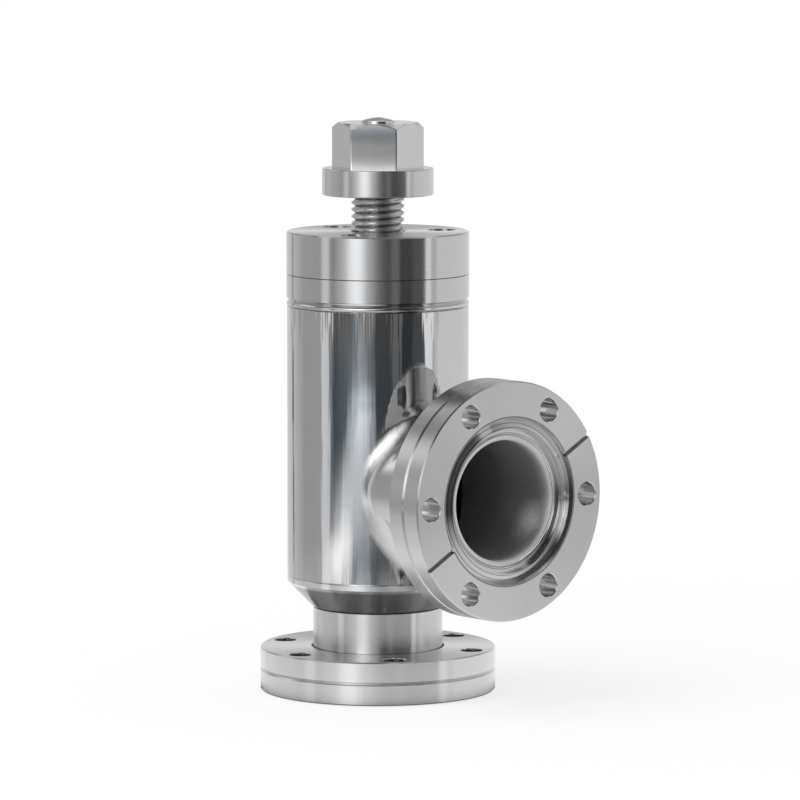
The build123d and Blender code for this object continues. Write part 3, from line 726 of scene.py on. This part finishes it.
polished = metal(
    "polished_steel",
    STEEL,
    0.06,
    ripple=BODY_WAVES,
    mottle=BODY_DENTS,
    bore=inside_body,
    zone=(near_branch, SADDLE_ROUGHNESS),
)
polished_tube = metal(
    "polished_tube_steel",
    STEEL,
    0.06,
    axis="X",
    centre=PORT_CENTRE,
    mottle=BODY_DENTS,
    bore=inside_port,
)
turned = metal(
    "turned_steel",
    STEEL,
    0.21,
    axis="Z",
    ring_depth=FINE_CUT,
    zone=(on_bead, BEAD_ROUGHNESS),
    # Thin lines of painted shade in the cover's joint and at the bead's foot
    seams=(COVER_SEAM, BEAD_SEAM),
)
turned_foot = metal(
    "turned_foot_steel",
    PALE_STEEL,
    0.23,
    axis="Z",
    ring_depth=FINE_CUT,
    zone=(cut_finer_foot, RECESS_ROUGHNESS),
)
# Painted highlight: the cone's edge below the weld is painted lighter than the steel
turned_cone = metal(
    "turned_cone_steel",
    (0.80, 0.80, 0.805),
    0.20,
    axis="Z",
    ring_depth=FINE_CUT,
    shaded=CONE_SHADE,
)
turned_side = metal(
    "turned_side_steel",
    STEEL,
    0.24,
    axis="X",
    centre=PORT_CENTRE,
    ring_depth=FINE_CUT,
    zone=(cut_finer_side, RECESS_ROUGHNESS),
    grooves=KNIFE_RINGS,
)
turned_collar = metal("turned_collar_steel", PALE_STEEL, 0.29, axis="Z", ring_depth=FINE_CUT)
milled = metal("milled_steel", STEEL, 0.16, mottle=FINE_DENTS)
spun = metal(
    "spun_steel", (0.30, 0.30, 0.295), 0.3, axis="Z", anisotropic=0.5, ring_depth=COARSE_CUT
)
plate = metal(
    "bellows_steel", (0.20, 0.198, 0.19), 0.34, axis="Z", anisotropic=0.6, ring_depth=COARSE_CUT
)
# Painted light: the thread's steel is painted lighter than the other steel
thread = metal(
    "thread_steel",
    (0.84, 0.835, 0.83),
    0.24,
    axis="Z",
    anisotropic=0.9,
    drawn=0.0,
    roots=ROOT_SHADE_ENDS,
)
bronze = metal("bronze", (0.60, 0.42, 0.22), 0.30, axis="Z", anisotropic=0.6, ring_depth=COARSE_CUT)
copper = metal("copper", (0.80, 0.44, 0.30), 0.28, axis="Z", anisotropic=0.6, ring_depth=COARSE_CUT)
ground = metal("bearing_steel", (0.62, 0.63, 0.65), 0.12)
screws = metal("screw_steel", (0.60, 0.60, 0.61), 0.26, mottle=FINE_DENTS)
bright_screw = metal("bright_screw_steel", STEEL, 0.12, mottle=FINE_DENTS)

DRESS = {
    "body_shell": polished,
    "bottom_flange": turned_foot,
    "neck_tube": turned,
    "seat_reducer": turned_cone,
    "bonnet_ring": turned,
    "top_cover": turned,
    "side_flange": turned_side,
    "side_tube": polished_tube,
    "plunger": spun,
    "valve_plate": spun,
    "pad_retainer": spun,
    "bellows_lower_collar": spun,
    "bellows_upper_collar": spun,
    "spindle_nut": bronze,
    "guide_bush": bronze,
    "ball_cage": bronze,
    "seal_pad": copper,
    "lower_race": ground,
    "upper_race": ground,
    "thrust_balls": ground,
    "cover_screws": screws,
    "plate_screw": screws,
    "guide_pin": screws,
    "drive_key": screws,
    "bearing_cap": screws,
}


def dress_frame():
    """Gives each carried-over node its material."""
    for name, material in DRESS.items():
        for slot in nodes[name].material_slots:
            slot.material = material


def lathe(rows, steps, closed=False):
    """Points and faces between rings, each a radius or a function of the angle, and a height.

    A closed one joins its last ring to its first, and any other has a face at each end.
    """
    verts = []
    for radius, height in rows:
        for step in range(steps):
            angle = 2 * pi * step / steps
            r = radius(angle) if callable(radius) else radius
            verts.append((r * cos(angle), r * sin(angle), height))
    faces = []
    for row in range(len(rows) if closed else len(rows) - 1):
        low = row * steps
        high = (row + 1) % len(rows) * steps
        for step in range(steps):
            after = (step + 1) % steps
            faces.append((low + step, low + after, high + after, high + step))
    if not closed:
        faces.append(tuple(reversed(range(steps))))
        faces.append(tuple(range(len(verts) - steps, len(verts))))
    return verts, faces


def new_piece(name, verts, faces, material):
    piece = new_object(name, verts, faces, material)
    piece.data.validate()
    piece.data.shade_smooth()
    return piece


# Spindle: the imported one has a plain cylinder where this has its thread
THREAD_PITCH = 2.0 * MM
THREAD_DEPTH = 1.1 * MM
THREAD_R = 7.8 * MM
THREAD_START = 104.4 * MM
THREAD_STEPS = 72
ROWS_PER_PITCH = 12
CREST_SHARE = 0.15  # of half a pitch, and then that of the flank
FLANK_SHARE = 0.75
SHANK_R = 6.5 * MM
SHANK_GAP = 0.5 * MM  # between the shank's end and the thread's start
SPINDLE_FOOT_R = 4.9 * MM
SPINDLE_TIP_R = 5.5 * MM
SPINDLE_CHAMFER = 0.4 * MM
SHOULDER_R = 10.0 * MM
SHOULDER_LOW = 92.3 * MM
SHOULDER_HIGH = 95.3 * MM
SPINDLE_CREASE = radians(40)  # the bend from which an edge is drawn sharp


def thread_r(height):
    """The radius of a right-hand rounded thread at a height, as a function of the angle."""

    def radius(angle):
        phase = (height - THREAD_START) / THREAD_PITCH - angle / (2 * pi)
        from_crest = abs(phase - round(phase)) * 2
        sunk = min(1.0, max(0.0, (from_crest - CREST_SHARE) / FLANK_SHARE))
        return THREAD_R - THREAD_DEPTH * sunk

    return radius


def make_spindle():
    """The spindle, threaded between its plain shank and the hexagon's collar."""
    low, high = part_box("spindle")
    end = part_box("drive_hex")[0].z
    rows = [
        (SPINDLE_FOOT_R, low.z),
        (SPINDLE_FOOT_R, SHOULDER_LOW),
        (SHOULDER_R, SHOULDER_LOW),
        (SHOULDER_R, SHOULDER_HIGH),
        (SHANK_R, SHOULDER_HIGH),
        (SHANK_R, THREAD_START - SHANK_GAP),
    ]
    count = int((end - THREAD_START) / THREAD_PITCH * ROWS_PER_PITCH)
    for row in range(count + 1):
        height = THREAD_START + (end - THREAD_START) * row / count
        rows.append((thread_r(height), height))
    rows += [
        (SPINDLE_TIP_R, end),
        (SPINDLE_TIP_R, high.z - SPINDLE_CHAMFER),
        (SPINDLE_TIP_R - SPINDLE_CHAMFER, high.z),
    ]
    piece = new_piece("threaded_spindle", *lathe(rows, THREAD_STEPS), thread)
    piece.data.set_sharp_from_angle(angle=SPINDLE_CREASE)
    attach(piece, "spindle")
    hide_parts("spindle")


# Drive hexagon with its stop collar
HEX_FLAT = 11.75 * MM  # from the axis to a flat
HEX_CORNER = 44.4  # degrees, where the first corner points
HEX_BASE = 153.9 * MM
HEX_ROUNDING = 160  # the higher, the sharper the corners
HEX_STEPS = 600
HEX_ROWS = 16
CHAMFER_R = 11.8 * MM
CHAMFER_SLOPE = 0.9
CHAMFER_HEIGHT = 1.8 * MM
CHAMFER_ROWS = 14
EDGE = 0.35 * MM  # the rounding of the collar's edges
EDGE_MIDDLE = 0.3 * EDGE  # how far in that rounding's middle lies
EDGE_GUARD = 1.2 * EDGE  # a ring here keeps the shading of the flat beside it
FRONT_FLAT = 4
HOLLOW_HEIGHT = 161.0 * MM  # where the front flat is deepest
HOLLOW_DEPTH = 0.1 * MM
BEND_ABOVE = 14.0  # the flat's curve above there, per metre
FLARE_BELOW = 2.9e5  # and below, where it flares out to its foot, per cubic metre
FLAT_SHARE = 0.08  # of the front flat's hollow, on the others
JOURNAL_R = 5.55 * MM
JOURNAL_LENGTH = 14.05 * MM
KEYWAY_R = 7.05 * MM
KEYWAY_HALF = 1.55 * MM
KEYWAY_LENGTH = 11.1 * MM
SCREW_HOLE_R = 2.6 * MM
SCREW_RECESS_R = 5.1 * MM
SCREW_RECESS_DEPTH = 1.2 * MM
SCREW_RECESS_CHAMFER = 0.2 * MM
HEX_CREASE = radians(28)


def hexagon_r(angle, height):
    """The hexagon's radius: six flats, the front one slightly hollow, and small round corners."""
    above = height - HOLLOW_HEIGHT
    rise = BEND_ABOVE * above**2 / 2 if above > 0 else FLARE_BELOW * above**4 / 4
    hollow = rise - HOLLOW_DEPTH
    total = 0.0
    for flat in range(6):
        turn = radians(HEX_CORNER + 30 + 60 * flat)
        facing = cos(angle - turn)
        if facing > 0:
            share = 1.0 if flat == FRONT_FLAT else FLAT_SHARE
            total += (facing * HEX_FLAT / (HEX_FLAT + share * hollow)) ** HEX_ROUNDING
    return HEX_FLAT * total ** (-1 / HEX_ROUNDING)


def keyed_bore(angle):
    """The radius of the hexagon's bore, with its keyway."""
    if cos(angle) > 0 and abs(KEYWAY_R * sin(angle)) < KEYWAY_HALF:
        return KEYWAY_R / cos(angle)
    return JOURNAL_R


def make_hexagon():
    """The hexagon on its collar, keyed bore, and the recess and hole for its screw."""
    low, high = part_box("drive_hex")
    collar_r = high.x
    recess_floor = high.z - SCREW_RECESS_DEPTH

    def outline(height):
        cone = CHAMFER_R + (high.z - height) / CHAMFER_SLOPE
        return lambda angle: min(hexagon_r(angle, height), cone)

    rows = [
        (keyed_bore, low.z),
        (collar_r - EDGE, low.z),
        (collar_r - EDGE_MIDDLE, low.z + EDGE_MIDDLE),
        (collar_r, low.z + EDGE),
        (collar_r, low.z + EDGE_GUARD),
        (collar_r, HEX_BASE - EDGE_GUARD),
        (collar_r, HEX_BASE - EDGE),
        (collar_r - EDGE_MIDDLE, HEX_BASE - EDGE_MIDDLE),
        (collar_r - EDGE, HEX_BASE),
        (collar_r - EDGE_GUARD, HEX_BASE),
    ]
    milled_from = len(rows) - 1
    chamfer_low = high.z - CHAMFER_HEIGHT
    for row in range(HEX_ROWS):
        height = HEX_BASE + (chamfer_low - HEX_BASE) * row / HEX_ROWS
        rows.append((outline(height), height))
    for row in range(CHAMFER_ROWS + 1):
        height = high.z - CHAMFER_HEIGHT * (1 - row / CHAMFER_ROWS)
        rows.append((outline(height), height))
    rows += [
        (SCREW_RECESS_R + SCREW_RECESS_CHAMFER, high.z),
        (SCREW_RECESS_R, high.z - SCREW_RECESS_CHAMFER),
        (SCREW_RECESS_R, recess_floor),
        (SCREW_HOLE_R, recess_floor),
        (SCREW_HOLE_R, low.z + JOURNAL_LENGTH),
        (JOURNAL_R, low.z + JOURNAL_LENGTH),
        (JOURNAL_R, low.z + KEYWAY_LENGTH),
        (keyed_bore, low.z + KEYWAY_LENGTH),
    ]
    piece = new_piece("worn_hexagon", *lathe(rows, HEX_STEPS, closed=True), turned_collar)
    piece.data.materials.append(milled)
    for face in piece.data.polygons:
        face.material_index = 1 if face.index >= milled_from * HEX_STEPS else 0
    piece.data.set_sharp_from_angle(angle=HEX_CREASE)
    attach(piece, "spindle")
    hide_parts("drive_hex")


# Domed screw in the hexagon's top
SCREW_SHANK_R = 2.5 * MM
SCREW_STEPS = 96
POINT_R = 0.05 * MM  # of the small faces that close it
DOME_RISE = 0.9 * MM
DOME_SHARES = (0.995, 0.96, 0.88, 0.78, 0.66, 0.54)  # its rings, as shares of the head's radius
DOME_EDGE_DROP = 0.08 * MM
HEAD_EDGE = 0.2 * MM
SOCKET_R = 1.5 * MM  # from the axis to a flat
SOCKET_CHAMFER = 0.15 * MM
# How far below the dome's top the socket's chamfer starts and ends, and its floor lies
SOCKET_MOUTH = 0.1 * MM
SOCKET_CHAMFER_END = 0.25 * MM
SOCKET_DEPTH = 1.4 * MM
SCREW_CREASE = radians(35)


def socket_r(extra):
    """The radius of the hexagon socket, as a function of the angle."""

    def radius(angle):
        return (SOCKET_R + extra) / max(cos(angle - radians(60 * flat)) for flat in range(6))

    return radius


def make_hex_screw():
    """A screw with a short upright side, a low dome and a hexagon socket."""
    low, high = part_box("hex_screw")
    head_r = high.x
    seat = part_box("drive_hex")[1].z - SCREW_RECESS_DEPTH
    dome_r = (head_r**2 + DOME_RISE**2) / (2 * DOME_RISE)
    rows = [
        (POINT_R, low.z),
        (SCREW_SHANK_R, low.z),
        (SCREW_SHANK_R, seat),
        (head_r, seat),
        (head_r, high.z - DOME_RISE - HEAD_EDGE),
    ]
    drop = DOME_EDGE_DROP
    for share in DOME_SHARES:
        r = head_r * share
        rows.append((r, high.z - dome_r + (dome_r**2 - r**2) ** 0.5 - drop))
        drop = 0.0
    rows += [
        (socket_r(SOCKET_CHAMFER), high.z - SOCKET_MOUTH),
        (socket_r(0), high.z - SOCKET_CHAMFER_END),
        (socket_r(0), high.z - SOCKET_DEPTH),
        (POINT_R, high.z - SOCKET_DEPTH),
    ]
    piece = new_piece("domed_screw", *lathe(rows, SCREW_STEPS), bright_screw)
    piece.data.set_sharp_from_angle(angle=SCREW_CREASE)
    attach(piece, "spindle")
    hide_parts("hex_screw")


# Bellows: rounded folds that stretch between the plate and the bonnet ring
BELLOWS_FOLDS = 14
BELLOWS_STEPS = 96
ROWS_PER_FOLD = 10
BELLOWS_WALL = 0.35 * MM
FOLD_ROUNDNESS = 0.7  # the lower, the squarer
VALLEY_STEP = 2.9 * MM  # from the upper collar's outside to the folds' inside


def make_bellows():
    """A closed wall that swings in and out between its two collars."""
    low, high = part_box("bellows")
    crest_r = high.x
    valley_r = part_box("bellows_upper_collar")[1].x - VALLEY_STEP
    middle = (crest_r + valley_r) / 2
    swing = (crest_r - valley_r) / 2 - BELLOWS_WALL
    count = BELLOWS_FOLDS * ROWS_PER_FOLD
    line = []
    for row in range(count + 1):
        wave = -cos(2 * pi * row / ROWS_PER_FOLD)
        fold = swing * (abs(wave) ** FOLD_ROUNDNESS) * (1 if wave > 0 else -1)
        line.append((middle + fold, low.z + (high.z - low.z) * row / count))
    outside = [(radius + BELLOWS_WALL / 2, height) for radius, height in line]
    inside = [(radius - BELLOWS_WALL / 2, height) for radius, height in reversed(line)]
    faced = lathe(outside + inside, BELLOWS_STEPS, closed=True)
    piece = new_piece("welded_bellows", *faced, plate)
    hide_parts("bellows")
    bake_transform(piece)


make_camera()
make_room()
make_screens()
make_ceiling()
make_windows()
make_lamp()
make_floor()
make_table()
dress_frame()
make_spindle()
make_hexagon()
make_hex_screw()
make_bellows()
bpy.context.scene.view_settings.view_transform = "Standard"
